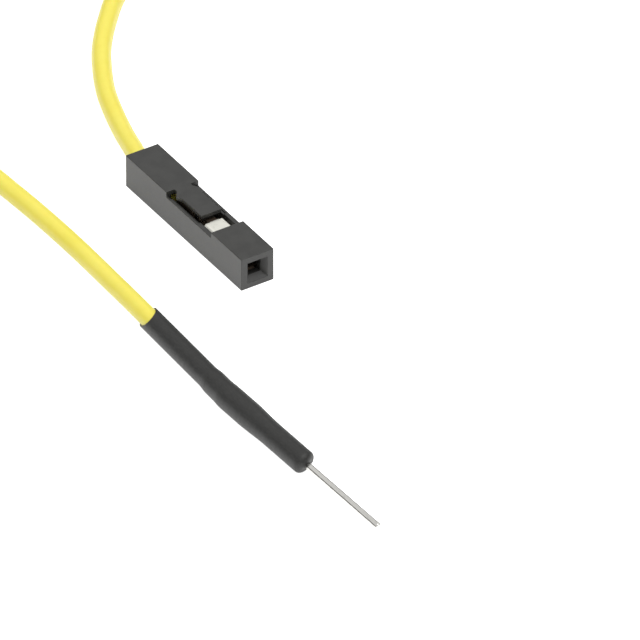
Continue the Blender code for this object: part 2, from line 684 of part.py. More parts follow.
def solder_joint(collection, material):
    """Hollow cone of solder round the strands behind the cup."""
    rim = CUP_DIAMETER / 2 - PIN_CHAMFER
    inner, outer = [], []
    for share in [0.0] + spread(0.0, 1.0, 3):
        along = -STRIP_GAP - SOLDER_LENGTH * share
        inner.append((along, CUP_BORE_RADIUS))
        outer.append((along, rim + (CUP_BORE_RADIUS + SOLDER_WALL - rim) * share * (2 - share)))
    item = turned("solder_joint", outer + inner[::-1], 20, collection, material)
    bend_behind_cup(item)
    smooth(item)
    return item


def strand_offset(number, along):
    """Offset of a strand from the middle of the core; strand 1 is the middle one."""
    if number == 1:
        return 0.0, 0.0
    angle = 2 * math.pi * ((number - 2) / 6 + along / STRAND_LAY)
    return STRAND_PITCH * math.cos(angle), STRAND_PITCH * math.sin(angle)


def socket_core_line(x):
    """Height of the core between the insulation and the raised core crimp."""
    start, end = JACKET_END_X, CORE_CRIMP_REAR_X
    share = min(max((x - start) / (end - start), 0.0), 1.0)
    core_z = floor_height("core") + CORE_BARREL
    return AXIS_Z + (core_z - AXIS_Z) * eased(share)


def socket_strands(collection, material):
    """Bare strands from the insulation through the core crimp."""
    start, end = JACKET_END_X + STRIP_GAP, CORE_END_X
    stations = [start] + spread(start, CORE_CRIMP_REAR_X, 4) + spread(CORE_CRIMP_REAR_X, end, 4)
    for number in range(1, 8):
        points = []
        for x in stations:
            y, z = strand_offset(number, x - start)
            points.append((x, y, z + socket_core_line(x)))
        smooth(tube(f"strand_{number}_socket_end", points, STRAND_DIAMETER, collection, material))


def pin_strands(collection, material, frame):
    """Bare strands from the insulation through the solder into the cup."""
    start, end = -BARE_CORE + STRIP_GAP, CUP_DEPTH - STRIP_GAP
    stations = [start] + spread(start, 0.0, 6) + spread(0.0, end, 2)
    for number in range(1, 8):
        points = []
        for along in stations:
            y, z = strand_offset(number, along - start)
            sideways, upward = sag(along)
            points.append((along, y + sideways, z + upward))
        strand = tube(f"strand_{number}_pin_end", points, STRAND_DIAMETER, collection, material)
        strand.parent = frame
        smooth(strand)


def smooth_points(points, step):
    """Points at even steps along a Catmull-Rom curve through the given ones."""
    fine = []
    padded = [2 * points[0] - points[1]] + points + [2 * points[-1] - points[-2]]
    for before, here, there, after in zip(padded, padded[1:], padded[2:], padded[3:]):
        for t in [0.0] + spread(0.0, 1.0, CURVE_DIVISIONS)[:-1]:
            fine.append(0.5 * (2 * here + (there - before) * t
                               + (2 * before - 5 * here + 4 * there - after) * t ** 2
                               + (3 * here - before - 3 * there + after) * t ** 3))
    fine.append(points[-1])
    total = sum((b - a).length for a, b in zip(fine, fine[1:]))
    count = max(2, round(total / step))
    wanted = [total * k / count for k in range(count + 1)]
    result, travelled, k = [], 0.0, 0
    for here, there in zip(fine, fine[1:]):
        length = (there - here).length
        while k < count and travelled + length >= wanted[k]:
            result.append(here.lerp(there, (wanted[k] - travelled) / length))
            k += 1
        travelled += length
    result.append(fine[-1])
    return result


def wire_points(frame_matrix):
    """Centre line of the insulated wire, from the socket's crimp to the sleeve's joint."""
    points = [Vector((JACKET_END_X, 0.0, AXIS_Z)), Vector((JACKET_CRIMP_REAR_X, 0.0, AXIS_Z)),
              Vector((HOUSING_REAR_X, EXIT_SHIFT, AXIS_Z - EXIT_DROP))]
    points += [Vector((x * MM, y * MM, WIRE_Z + height * MM)) for x, y, height in ROUTE]
    sleeve_start = -SLEEVE_REAR - 2 * SLEEVE_SLANT
    for along in [sleeve_start] + spread(sleeve_start, -BARE_CORE, 4):
        sideways, upward = sag(along)
        points.append(frame_matrix @ Vector((along, sideways, upward)))
    return smooth_points(points, WIRE_STEP)


def main():
    for item in list(bpy.data.objects):
        bpy.data.objects.remove(item)
    parts = bpy.data.collections.new("breadboard_jumper_wire")
    cutters = bpy.data.collections.new("cutters")
    for collection in (parts, cutters):
        bpy.context.scene.collection.children.link(collection)
    look = {name: new_material(name) for name in COLOURS}

    smooth(housing(parts, cutters, look["black_nylon"]), 30)
    socket_terminal(parts, look["tinned_bronze"])
    socket_strands(parts, look["tinned_copper"])

    pin_end = link(None, "pin_end", parts)
    pin_end.location = (PIN_END_X, PIN_END_Y, PIN_END_Z)
    pin_end.rotation_euler.z = PIN_END_HEADING
    bpy.context.view_layer.update()
    for item in (pin_contact(parts, cutters, look["plated_brass"]),
                 shrink_sleeve(parts, look["shrink_tube"]),
                 solder_joint(parts, look["solder"])):
        item.parent = pin_end
    bpy.data.objects["weep hole"].parent = pin_end
    pin_strands(parts, look["tinned_copper"], pin_end)

    smooth(tube("wire", wire_points(pin_end.matrix_world), WIRE_DIAMETER, parts,
                look["yellow_pvc"]))


main()
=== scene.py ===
import math

import bpy
from mathutils import Matrix, Vector


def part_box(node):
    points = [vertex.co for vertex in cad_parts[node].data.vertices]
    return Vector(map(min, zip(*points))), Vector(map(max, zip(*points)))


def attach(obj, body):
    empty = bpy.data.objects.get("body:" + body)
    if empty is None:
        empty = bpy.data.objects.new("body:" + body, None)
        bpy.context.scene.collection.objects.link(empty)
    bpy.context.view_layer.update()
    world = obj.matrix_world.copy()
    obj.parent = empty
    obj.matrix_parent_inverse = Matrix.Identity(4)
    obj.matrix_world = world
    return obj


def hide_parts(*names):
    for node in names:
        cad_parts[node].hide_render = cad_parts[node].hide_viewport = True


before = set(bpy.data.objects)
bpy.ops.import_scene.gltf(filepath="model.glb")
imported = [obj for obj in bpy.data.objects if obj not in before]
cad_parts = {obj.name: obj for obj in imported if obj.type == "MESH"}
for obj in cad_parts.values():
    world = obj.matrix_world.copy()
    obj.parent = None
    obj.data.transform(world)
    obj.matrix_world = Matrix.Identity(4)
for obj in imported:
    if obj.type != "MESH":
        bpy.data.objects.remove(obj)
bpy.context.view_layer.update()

bl_info = {
    "name": "Breadboard jumper wire",
    "version": (1, 0, 0),
    "blender": (4, 5, 0),
    "location": "View3D > Sidebar > Jumper wire",
    "description": "Makes and finishes the pieces of a breadboard jumper wire",
    "category": "Object",
}

HOUSING_LOW, HOUSING_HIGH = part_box("housing")
MM = 0.001

# Housing, in mm
CAVITY_END = 6.25
CAVITY_HALF = 0.922
CAVITY_FLOOR = 0.35
CAVITY_TOP = 2.15
AXIS_HEIGHT = 1.237
HOLE_HALF = 0.475
MOUTH_HALF = 0.80
MOUTH_DEPTH = 0.45
REAR_CHAMFER = 0.12
LEDGE = 2.10
NUB_FRONT = 1.178
NUB_DEPTH = 0.44
NUB_LENGTH = 0.55
NUB_FLAT = 0.15
NUB_HALF = 0.40
LATCH_TIP = NUB_FRONT + 0.28
LATCH_ROOT = LATCH_TIP - 3.56
LATCH_NECK = 0.64
LATCH_SHOULDER = 0.98
LATCH_HALF = 0.77
LATCH_SLIT = 0.10
NOTCH_END = LATCH_ROOT + 0.28
SHOULDER_START = NOTCH_END + 0.48
SHOULDER_END = SHOULDER_START + 0.50
NOTCH_SIDE = 0.13
NOTCH_DEPTH = 0.40
WINDOW_FRONT = 3.40
OUTER_ROUND = 0.05
INNER_ROUND = 0.025

# Pin end, in mm along the contact from the rear rim of its cup
PIN_END_PLACE = (0.01797, -0.00909, 0.000935)
PIN_END_HEADING = math.radians(1.34)
CUP_RADIUS = 0.80
CUP_LENGTH = 2.10
CUP_BORE = 0.324
CUP_DEPTH = 1.90
CUP_TAPER = 3.00
SHANK_RADIUS = 0.71
SHANK_END = 8.70
PIN_TIP = 17.52
PIN_CHAMFER = 0.09
BARE_CORE = 3.10
SLEEVE_REAR = -10.67
SLEEVE_SLANT = 1.10
SLEEVE_SLANT_TURN = math.radians(127)
SLEEVE_SLANT_REACH = 3.5
OVER_WIRE = 0.685
OVER_CUP = 0.81
OVER_SHANK = 0.72
SLEEVE_LIP = 0.32
SLEEVE_MOUTH = 0.012
LIP_SLANT = 0.20
LIP_SLANT_REACH = 1.2
SLEEVE_KINK = 0.069
SLEEVE_SINK = 0.0110
KINK_BLEND = 0.60
SOLDER_RISE = 1.9
RISE_LENGTH = 0.9
RISE_SHARE = 0.6
SLEEVE_STATIONS = 90

# Route of the wire in mm, as in the CAD source: (x, y, height over its place on the ground)
WIRE_STEP = 0.00035
LYING = 0.680
WIRE_START = [(-2.53, 0.0, 1.237), (-4.68, 0.0, 1.237)]
WIRE_EXIT = (-7.15, 0.12, 1.227)
ROUTE = [
    (-9.91, 0.84, 0.28), (-11.42, 1.26, 0.14), (-13.91, 2.04, 0.05), (-16.24, 2.91, 0.01),
    (-18.37, 3.98, 0.0), (-20.42, 5.20, 0.0), (-22.15, 6.50, 0.0), (-23.59, 7.75, 0.0),
    (-24.85, 8.94, 0.0), (-27.70, 12.00, 0.0), (-31.20, 14.40, 0.0), (-35.40, 15.10, 0.0),
    (-39.65, 13.50, 0.0), (-42.75, 9.80, 0.0), (-44.15, 5.00, 0.0), (-43.65, -0.20, 0.0),
    (-41.25, -4.80, 0.0), (-37.30, -7.70, 0.0), (-32.60, -9.05, 0.0), (-27.00, -9.35, 0.0),
    (-21.00, -9.15, 0.0), (-15.50, -8.80, 0.0), (-10.82, -8.53, 0.0), (-6.43, -8.33, 0.0),
    (-1.92, -8.29, 0.0), (2.63, -8.41, 0.02),
]

# Colours that no settings hold
DUST = (0.075, 0.073, 0.068)
# Painted shade: a dark bronze that stands in for the shade on the terminal's contact leaves in the
# mouth and on its neck and crimp behind the box.
SHADE_PAINTED_BRONZE = (0.13, 0.10, 0.075)
TINNED_COPPER = (0.80, 0.78, 0.72)
BRIGHT_SOLDER = (0.70, 0.71, 0.72)
DULL_SOLDER = (0.48, 0.49, 0.50)
# Stretch of the terminal, in mm along it, that keeps the tin colour; before and after it the colour
# is painted shade.
UNSHADED_STRETCH = (1.85, 5.2)

# Stage, in metres
LAMP_PLACE = (0.17, 0.05, 0.58)
LAMP_SIZE = 0.44
LAMP_POWER = 1.45
FLOOR_SIZE = 8.0
FLOOR_DROP = 0.00001
FLOOR_GLOW = 0.90
SKY = [(0.08, 0.10), (0.34, 0.20), (0.48, 1.0), (1.0, 0.85)]
PICTURE = 640
SENSOR = 36.0
ORIGIN_PIXEL = (199.62, 232.50)


class WireSettings(bpy.types.PropertyGroup):
    diameter: bpy.props.FloatProperty(
        name="Diameter", description="Outer diameter of the insulation",
        default=0.00135, precision=5, unit="LENGTH")
    colour: bpy.props.FloatVectorProperty(
        name="Colour", description="Colour of the soft insulation",
        default=(0.90, 0.80, 0.10), min=0.0, max=1.0, subtype="COLOR")


class HousingSettings(bpy.types.PropertyGroup):
    length: bpy.props.FloatProperty(
        name="Length", description="Length of the housing",
        default=HOUSING_HIGH.x - HOUSING_LOW.x, precision=5, unit="LENGTH")
    width: bpy.props.FloatProperty(
        name="Width", description="Width of the housing, one pitch of a pin header",
        default=HOUSING_HIGH.y - HOUSING_LOW.y, precision=5, unit="LENGTH")
    height: bpy.props.FloatProperty(
        name="Height", description="Height of the housing",
        default=HOUSING_HIGH.z - HOUSING_LOW.z, precision=5, unit="LENGTH")
    colour: bpy.props.FloatVectorProperty(
        name="Colour", description="Colour of the moulded nylon",
        default=(0.026, 0.026, 0.024), min=0.0, max=1.0, subtype="COLOR")


class TerminalSettings(bpy.types.PropertyGroup):
    dullness: bpy.props.FloatProperty(
        name="Dullness", description="Least roughness of the tin plating",
        default=0.32, min=0.0, max=1.0)
    colour: bpy.props.FloatVectorProperty(
        name="Colour", description="Colour of the tin plating",
        default=(0.93, 0.92, 0.84), min=0.0, max=1.0, subtype="COLOR")


class PinSettings(bpy.types.PropertyGroup):
    diameter: bpy.props.FloatProperty(
        name="Diameter", description="Diameter of the round pin",
        default=0.00051, precision=5, unit="LENGTH")
    colour: bpy.props.FloatVectorProperty(
        name="Colour", description="Colour of the plated contact",
        default=(0.66, 0.65, 0.62), min=0.0, max=1.0, subtype="COLOR")


class SleeveSettings(bpy.types.PropertyGroup):
    wall: bpy.props.FloatProperty(
        name="Wall", description="Thickness of the shrunk tube",
        default=0.00012, precision=6, unit="LENGTH")
    colour: bpy.props.FloatVectorProperty(
        name="Colour", description="Colour of the heat-shrink tube",
        default=(0.013, 0.013, 0.012), min=0.0, max=1.0, subtype="COLOR")


class StageSettings(bpy.types.PropertyGroup):
    azimuth: bpy.props.FloatProperty(
        name="Azimuth", description="Direction that the camera looks from",
        default=math.radians(57.417), subtype="ANGLE", unit="ROTATION")
    elevation: bpy.props.FloatProperty(
        name="Elevation", description="Height of the camera over the horizon",
        default=math.radians(35.471), subtype="ANGLE", unit="ROTATION")
    lens: bpy.props.FloatProperty(
        name="Lens", description="Focal length of the camera, in millimetres", default=1600.0)
    pixels_per_mm: bpy.props.FloatProperty(
        name="Pixels per mm", description="Scale of the picture at the housing", default=15.11)
    floor_colour: bpy.props.FloatVectorProperty(
        name="Floor colour", description="Colour of the pale floor",
        default=(0.86, 0.86, 0.86), min=0.0, max=1.0, subtype="COLOR")


# Shader nodes


class Value:
    """An output of a node. Sums and products of values add Math nodes."""

    def __init__(self, look, socket):
        self.look, self.socket = look, socket

    def __add__(self, other):
        return self.look.maths("ADD", self, other)

    def __sub__(self, other):
        return self.look.maths("SUBTRACT", self, other)

    def __mul__(self, other):
        return self.look.maths("MULTIPLY", self, other)

    __radd__ = __add__
    __rmul__ = __mul__


class Look:
    """One node tree, with the few ways in which its nodes are made and joined."""

    def __init__(self, tree):
        self.tree = tree

    def node(self, kind, settings=None, inputs=None, output=0):
        made = self.tree.nodes.new(kind)
        for name, value in (settings or {}).items():
            if name == "stops":
                for stop in range(2, len(value)):
                    made.color_ramp.elements.new(value[stop][0])
                for element, (place, level) in zip(made.color_ramp.elements, value):
                    element.position = place
                    element.color = (level, level, level, 1.0)
            else:
                setattr(made, name, value)
        for name, value in (inputs or {}).items():
            self.put(made.inputs[name], value)
        return Value(self, made.outputs[output])

    def put(self, socket, value):
        if isinstance(value, Value):
            self.tree.links.new(value.socket, socket)
        elif socket.type == "RGBA":
            socket.default_value = (*value[:3], 1.0)
        else:
            socket.default_value = value

    def maths(self, operation, first, second):
        return self.node("ShaderNodeMath", {"operation": operation}, {0: first, 1: second})

    def clamped(self, value):
        return self.node("ShaderNodeClamp", None, {"Value": value})

    def blend(self, factor, first, second):
        """Two colours mixed by a factor."""
        return self.node("ShaderNodeMix", {"data_type": "RGBA"},
                         {0: factor, 6: first, 7: second}, output=2)

    def place(self, stretch=(1.0, 1.0, 1.0), turn=0.0, source="Object"):
        """Object coordinates in mm, stretched along each axis."""
        where = self.node("ShaderNodeTexCoord", output=source)
        scale = tuple(s / MM for s in stretch) if source == "Object" else stretch
        return self.node("ShaderNodeMapping", None,
                         {"Vector": where, "Rotation": (0.0, 0.0, turn), "Scale": scale})

    def noise(self, where, per_mm, detail=3.0, roughness=0.5):
        return self.node("ShaderNodeTexNoise", None,
                         {"Vector": where, "Scale": per_mm, "Detail": detail,
                          "Roughness": roughness})

    def ramp(self, value, low, high):
        """0 up to low, 1 from high on."""
        return self.node("ShaderNodeMapRange", {"interpolation_type": "SMOOTHSTEP"},
                         {"Value": value, "From Min": low, "From Max": high})

    def bump(self, height, depth, normal=None):
        """Small relief; depth is in mm."""
        inputs = {"Height": height, "Distance": depth * MM, "Strength": 1.0}
        if normal is not None:
            inputs["Normal"] = normal
        return self.node("ShaderNodeBump", None, inputs)


def new_material(name, **constants):
    """A material, its look and its main shader, with the sockets that stay the same all over."""
    material = bpy.data.materials.new(name)
    material.use_nodes = True
    look = Look(material.node_tree)
    shader = material.node_tree.nodes["Principled BSDF"]
    for socket, value in constants.items():
        look.put(shader.inputs[socket.replace("_", " ")], value)
    return material, look, shader


def nylon_material(colour):
    """Satin black nylon with the fine spark-eroded grain of its mould."""
    material, look, shader = new_material("black_nylon_moulding", IOR=1.53)
    where = look.place()
    cloud = look.noise(where, 0.9, 4.0)
    grain = look.noise(where, 26.0, 3.0, 0.6)
    dust = look.ramp(look.noise(where, 7.0, 5.0, 0.7), 0.62, 0.80)
    pale = tuple(1.35 * c + 0.004 for c in colour)
    base = look.blend(look.ramp(cloud, 0.30, 0.72), colour, pale)
    look.put(shader.inputs["Base Color"], look.blend(dust * 0.35, base, DUST))
    look.put(shader.inputs["Roughness"],
             look.clamped(0.36 + cloud * 0.10 + grain * 0.08 + dust * 0.08))
    fine = look.bump(grain, 0.0022)
    look.put(shader.inputs["Normal"], look.bump(cloud, 0.010, normal=fine))
    return material


def insulation_material(colour):
    """Soft yellow PVC, slightly uneven in tone, with faint drawing lines along it."""
    material, look, shader = new_material(
        "yellow_pvc_insulation", IOR=1.53, Subsurface_Weight=0.12,
        Subsurface_Radius=(0.0006, 0.0004, 0.0001), Subsurface_Scale=1.0)
    where = look.place()
    cloud = look.noise(where, 0.22, 3.0)
    mottle = look.noise(where, 1.6, 4.0, 0.6)
    around = look.place((0.6, 46.0, 1.0), source="UV")
    lines = look.noise(around, 1.0, 3.0, 0.6)
    deep = (colour[0] * 0.93, colour[1] * 0.90, colour[2] * 0.55)
    pale = (min(1.0, colour[0] * 1.03), min(1.0, colour[1] * 1.04), colour[2] * 1.6)
    tone = look.clamped(cloud * 0.7 + mottle * 0.5 - 0.1)
    look.put(shader.inputs["Base Color"], look.blend(tone, deep, pale))
    look.put(shader.inputs["Roughness"], look.clamped(0.30 + mottle * 0.12 + lines * 0.08))
    relief = look.bump(lines, 0.0022)
    look.put(shader.inputs["Normal"], look.bump(mottle, 0.006, normal=relief))
    return material


def shrink_material(colour):
    """Satin black polyolefin: cross ripples, fine streaks along it and a dull bloom."""
    material, look, shader = new_material("heat_shrink_tube", IOR=1.50)
    along = look.place((0.7, 3.2, 3.2), PIN_END_HEADING)
    streaks = look.noise(along, 3.4, 4.0, 0.6)
    ripples = look.noise(look.place((2.4, 0.6, 0.6), PIN_END_HEADING), 1.3, 3.0)
    grain = look.noise(look.place(), 18.0, 2.0)
    pale = tuple(1.7 * c + 0.004 for c in colour)
    look.put(shader.inputs["Base Color"], look.blend(look.ramp(streaks, 0.3, 0.8), colour, pale))
    look.put(shader.inputs["Roughness"], look.clamped(0.40 + streaks * 0.16 + ripples * 0.08))
    fine = look.bump(grain, 0.0016)
    middle = look.bump(streaks, 0.006, normal=fine)
    look.put(shader.inputs["Normal"], look.bump(ripples, 0.020, normal=middle))
    return material


def plated_material(name, colour, stretch, dull, turn=0.0, unshaded=None):
    """Bright plating with fine streaks one way and dull spots; outside its unshaded stretch the
    colour turns to a dark bronze that is painted shade.
    """
    material, look, shader = new_material(name, Metallic=1.0)
    streaks = look.noise(look.place(stretch, turn), 6.0, 4.0, 0.6)
    where = look.place()
    spots = look.ramp(look.noise(where, 3.2, 4.0, 0.6), 0.52, 0.78)
    grain = look.noise(where, 30.0, 2.0)
    shade = tuple(c * 0.74 for c in colour)
    base = look.blend(spots * 0.6 + streaks * 0.3, colour, shade)
    rough = dull + streaks * 0.16 + spots * 0.10
    # Beyond the stretch the colour is painted shade in dark bronze, and the roughness rises.
    if unshaded is not None:
        along = look.node("ShaderNodeSeparateXYZ", None, {0: where}, output=0)
        middle, half = (unshaded[0] + unshaded[1]) / 2, (unshaded[1] - unshaded[0]) / 2
        painted_shade = look.ramp(look.maths("ABSOLUTE", along - middle, 0.0), half - 0.1, half + 0.1)
        base = look.blend(painted_shade, base, SHADE_PAINTED_BRONZE)
        rough = rough + painted_shade * 0.2
    look.put(shader.inputs["Base Color"], base)
    look.put(shader.inputs["Roughness"], look.clamped(rough))
    fine = look.bump(grain, 0.0008)
    look.put(shader.inputs["Normal"], look.bump(streaks, 0.0030, normal=fine))
    return material


def solder_material():
    """Soft grey solder with a frosted, uneven skin."""
    material, look, shader = new_material("solder_fillet", Metallic=1.0)
    where = look.place()
    frost = look.noise(where, 5.0, 5.0, 0.65)
    look.put(shader.inputs["Base Color"],
             look.blend(look.ramp(frost, 0.35, 0.7), BRIGHT_SOLDER, DULL_SOLDER))
    look.put(shader.inputs["Roughness"], look.clamped(0.22 + frost * 0.35))
    look.put(shader.inputs["Normal"], look.bump(frost, 0.012))
    return material


# Modelling with the usual tools


def take(piece):
    """Only this piece is selected and active."""
    bpy.ops.object.select_all(action="DESELECT")
    piece.select_set(True)
    bpy.context.view_layer.objects.active = piece


def edit(select="SELECT", mode="VERT"):
    bpy.ops.object.mode_set(mode="EDIT")
    bpy.ops.mesh.select_mode(type=mode)
    bpy.ops.mesh.select_all(action=select)


def done():
    bpy.ops.object.mode_set(mode="OBJECT")


def named(name):
    piece = bpy.context.object
    piece.name = piece.data.name = name
    return piece


def block(name, low, high):
    """A cube primitive stretched between two corners, in mm."""
    low, high = Vector(low), Vector(high)
    bpy.ops.object.select_all(action="DESELECT")
    bpy.ops.mesh.primitive_cube_add(size=1.0, location=(low + high) / 2)
    piece = named(name)
    piece.scale = high - low
    bpy.ops.object.transform_apply(location=True, rotation=False, scale=True)
    return piece


def pick_faces(piece, test):
    """Edit mode with only the faces selected whose middle passes a test."""
    edit("DESELECT", "FACE")
    done()
    for face in piece.data.polygons:
        face.select = test(face.center, face.normal)
    edit_kept("FACE")


def pick_edges(piece, test):
    """Edit mode with only the edges selected whose two ends pass a test."""
    edit("DESELECT", "EDGE")
    done()
    verts = piece.data.vertices
    for edge in piece.data.edges:
        edge.select = test(verts[edge.vertices[0]].co, verts[edge.vertices[1]].co)
    edit_kept("EDGE")


def edit_kept(mode):
    bpy.ops.object.mode_set(mode="EDIT")
    bpy.ops.mesh.select_mode(type=mode)


def flared_block(name, start, end, growth, depth):
    """A square hole's cutter along X that widens from its end corner, and beyond."""
    low, high = Vector(map(min, start, end)), Vector(map(max, start, end))
    piece = block(name, low, high)
    outward = math.copysign(1.0, end[0] - start[0])
    middle, size = (low + high) / 2, high - low
    pick_faces(piece, lambda centre, normal: normal.x * outward > 0.9)
    bpy.ops.mesh.extrude_region_move(
        TRANSFORM_OT_translate={"value": (2 * depth * outward, 0.0, 0.0)})
    bpy.ops.transform.resize(
        value=(1.0, 1 + 4 * growth / size.y, 1 + 4 * growth / size.z),
        center_override=(end[0] + 2 * depth * outward, middle.y, middle.z))
    done()
    return piece


def prism(name, outline, low, high, upright=False):
    """A filled circle primitive whose points take an outline's places, extruded."""
    bpy.ops.object.select_all(action="DESELECT")
    bpy.ops.mesh.primitive_circle_add(vertices=len(outline), radius=1.0, fill_type="NGON")
    piece = named(name)
    for vert, (along, across) in zip(piece.data.vertices, outline):
        vert.co = (along, low, across) if upright else (along, across, low)
    rise = (0.0, high - low, 0.0) if upright else (0.0, 0.0, high - low)
    edit("SELECT", "FACE")
    bpy.ops.mesh.extrude_region_move(TRANSFORM_OT_translate={"value": rise})
    bpy.ops.mesh.select_all(action="SELECT")
    bpy.ops.mesh.normals_make_consistent(inside=False)
    done()
    return piece


def carve(piece, tool, operation="DIFFERENCE"):
    """Boolean with another piece, applied, and the tool cleared away."""
    take(piece)
    boolean = piece.modifiers.new("carve", "BOOLEAN")
    boolean.operation, boolean.solver, boolean.object = operation, "EXACT", tool
    bpy.ops.object.modifier_apply(modifier="carve")
    bpy.data.objects.remove(tool)


def lathe(name, profile, steps, closed):
    """A circle primitive whose points take a profile's places, spun about the X axis."""
    bpy.ops.object.select_all(action="DESELECT")
    bpy.ops.mesh.primitive_circle_add(vertices=len(profile), radius=1.0)
    piece = named(name)
    for vert, (along, radius) in zip(piece.data.vertices, profile):
        vert.co = (along, radius, 0.0)
    if not closed:
        last = len(profile) - 1
        pick_edges(piece, lambda a, b: {tuple(a), tuple(b)} == {
            tuple(piece.data.vertices[0].co), tuple(piece.data.vertices[last].co)})
        bpy.ops.mesh.delete(type="EDGE")
        done()
    edit()
    bpy.ops.mesh.spin(steps=steps, angle=2 * math.pi, use_auto_merge=True,
                      center=(0.0, 0.0, 0.0), axis=(1.0, 0.0, 0.0))
    bpy.ops.mesh.select_all(action="SELECT")
    bpy.ops.mesh.remove_doubles(threshold=0.0005)
    bpy.ops.mesh.normals_make_consistent(inside=False)
    done()
    return piece


def to_metres(piece, place=(0.0, 0.0, 0.0), heading=0.0):
    """From mm to metres and into place, all of it applied to the mesh."""
    take(piece)
    piece.scale = (MM, MM, MM)
    piece.location = place
    piece.rotation_euler = (0.0, 0.0, heading)
    bpy.ops.object.transform_apply(location=True, rotation=True, scale=True)


def smooth(piece, angle=32):
    take(piece)
    bpy.ops.object.shade_smooth_by_angle(angle=math.radians(angle))


def finish_piece(piece, material, slot, *nodes):
    """Material and body of a piece that stands for CAD nodes, which it hides; the slot is not used.
    """
    piece.data.materials.clear()
    piece.data.materials.append(material)
    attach(piece, "root")
    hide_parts(*nodes)


def dress(material, *names):
    """A material on CAD nodes that stay as they are."""
    for name in names:
        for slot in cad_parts[name].material_slots:
            slot.material = material


def smooth_route(points, step):
    """Points at even steps along a Catmull-Rom curve through the given ones."""
    points = [Vector(point) for point in points]
    padded = [2 * points[0] - points[1]] + points + [2 * points[-1] - points[-2]]
    fine = []
    for before, here, there, after in zip(padded, padded[1:], padded[2:], padded[3:]):
        for k in range(40):
            t = k / 40
            fine.append(0.5 * (2 * here + (there - before) * t
                               + (2 * before - 5 * here + 4 * there - after) * t ** 2
                               + (3 * here - before - 3 * there + after) * t ** 3))
    fine.append(points[-1])
    total = sum((b - a).length for a, b in zip(fine, fine[1:]))
    count = round(total / step)
    result, travelled, k = [], 0.0, 0
    for here, there in zip(fine, fine[1:]):
        length = (there - here).length
        while k < count and travelled + length >= total * k / count:
            result.append(here.lerp(there, (total * k / count - travelled) / length))
            k += 1
        travelled += length
    return result + [fine[-1]]


def eased(share):
    """Share of a change, kept between 0 and 1, that starts and ends gently."""
    share = min(1.0, max(0.0, share))
    return share * share * (3 - 2 * share)


def sag(along):
    """Sideways and upward shift, in mm, of the lead where it bends behind the cup."""
    behind = max(0.0, -along)
    bent = behind * behind / (behind + KINK_BLEND)
    return bent * SLEEVE_KINK, -bent * SLEEVE_SINK


